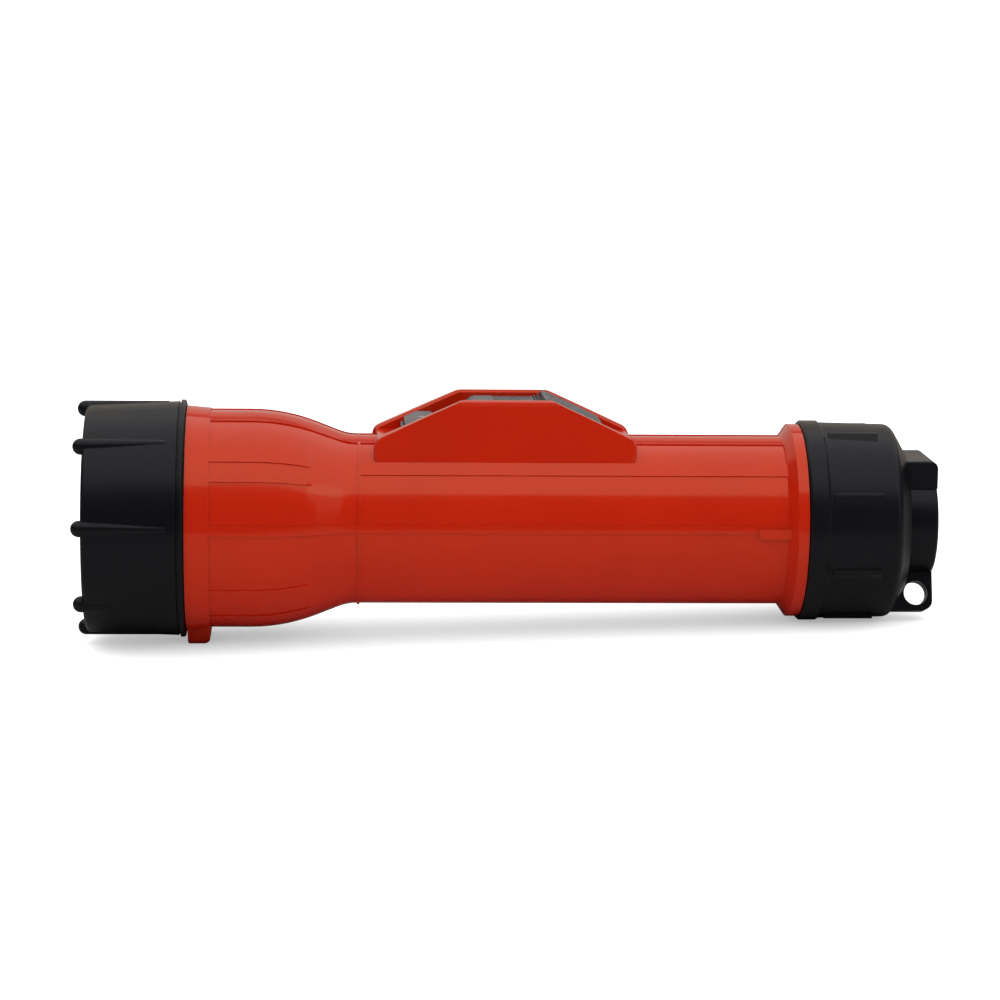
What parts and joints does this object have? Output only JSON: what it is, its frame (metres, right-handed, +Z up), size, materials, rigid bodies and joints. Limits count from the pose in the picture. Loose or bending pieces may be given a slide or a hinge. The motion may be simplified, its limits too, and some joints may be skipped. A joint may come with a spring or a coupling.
{
  "type": "firefighter flashlight",
  "caption": "Hand-held safety flashlight with a screwed lens ring, a belled body, a guarded slide switch with a signal button, and a tail cap with a lanyard lug.",
  "frame": {"origin": "on the level of the foot's underside, midway along the flashlight and across it", "axes": "+X along the barrel from the lens ring to the tail cap, +Y across the barrel away from the side shown, +Z up through the switch guard"},
  "size_m": [0.2058, 0.057, 0.0596],
  "materials": {
    "ring_black": "satin moulded black plastic",
    "cap_black": "satin moulded black plastic",
    "lens_clear": "clear polycarbonate",
    "seal_rubber": "soft black rubber",
    "mirror_coat": "vacuum-metallised plastic",
    "lamp_glass": "clear lamp glass",
    "brass": "bright rolled brass",
    "holder_white": "off-white moulded plastic",
    "spring_steel": "bright nickel-plated spring wire",
    "shell_orange": "glossy moulded signal orange-red plastic",
    "switch_grey": "textured dark grey plastic",
    "screw_steel": "plated steel",
    "cell_steel": "nickel-plated steel",
    "cell_core": "packed dark cell filling",
    "cell_sleeve": "plain printed film sleeve",
    "cell_plate": "nickel-plated contact"
  },
  "bodies": {
    "shell": {"body_shell": "shell_orange", "head_strip": "brass", "tail_strip": "brass", "switch_boot": "seal_rubber", "switch_base": "switch_grey", "switch_screws": "screw_steel", "button_spring": "spring_steel", "head_gasket": "seal_rubber", "tail_gasket": "seal_rubber", "front_cell_can": "cell_steel", "front_cell_core": "cell_core", "front_cell_sleeve": "cell_sleeve", "front_cell_tip": "cell_plate", "front_cell_base": "cell_plate", "rear_cell_can": "cell_steel", "rear_cell_core": "cell_core", "rear_cell_sleeve": "cell_sleeve", "rear_cell_tip": "cell_plate", "rear_cell_base": "cell_plate"},
    "head_stack": {"lens": "lens_clear", "lens_gasket": "seal_rubber", "reflector": "mirror_coat", "lamp_bulb": "lamp_glass", "lamp_base": "brass", "lamp_holder": "holder_white", "lamp_spring": "spring_steel", "lamp_contact": "brass", "lamp_ground": "brass"},
    "ring": {"lens_ring": "ring_black"},
    "tail_contact": {"tail_spring": "spring_steel", "contact_cup": "brass"},
    "cap": {"tail_cap": "cap_black"},
    "slider": {"switch_slider": "switch_grey", "slide_contact": "brass"},
    "button": {"signal_button": "switch_grey", "button_pin": "screw_steel", "signal_contact": "brass"}
  },
  "joints": [
    {"name": "head_travel", "type": "slide", "parent": "shell", "child": "head_stack", "axis": [-1, 0, 0], "range_m": [0, 0.008]},
    {"name": "ring_turn", "type": "hinge", "parent": "head_stack", "child": "ring", "pos_m": [0, 0, 0.0293], "axis": [-1, 0, 0], "range_deg": [0, 720]},
    {"name": "tail_travel", "type": "slide", "parent": "shell", "child": "tail_contact", "axis": [1, 0, 0], "range_m": [0, 0.008]},
    {"name": "cap_turn", "type": "hinge", "parent": "tail_contact", "child": "cap", "pos_m": [0, 0, 0.0293], "axis": [1, 0, 0], "range_deg": [0, 720]},
    {"name": "slider_travel", "type": "slide", "parent": "shell", "child": "slider", "axis": [-1, 0, 0], "range_m": [0, 0.006]},
    {"name": "button_press", "type": "slide", "parent": "shell", "child": "button", "axis": [0, 0, -1], "range_m": [0, 0.0009], "stiffness_N_per_m": 400, "springref_m": -0.002, "deforming": ["button_spring"]}
  ],
  "couplings": [
    {"joint": "ring_turn", "follows": "head_travel", "rad_per_m": 1570.8},
    {"joint": "cap_turn", "follows": "tail_travel", "rad_per_m": 1570.8}
  ]
}
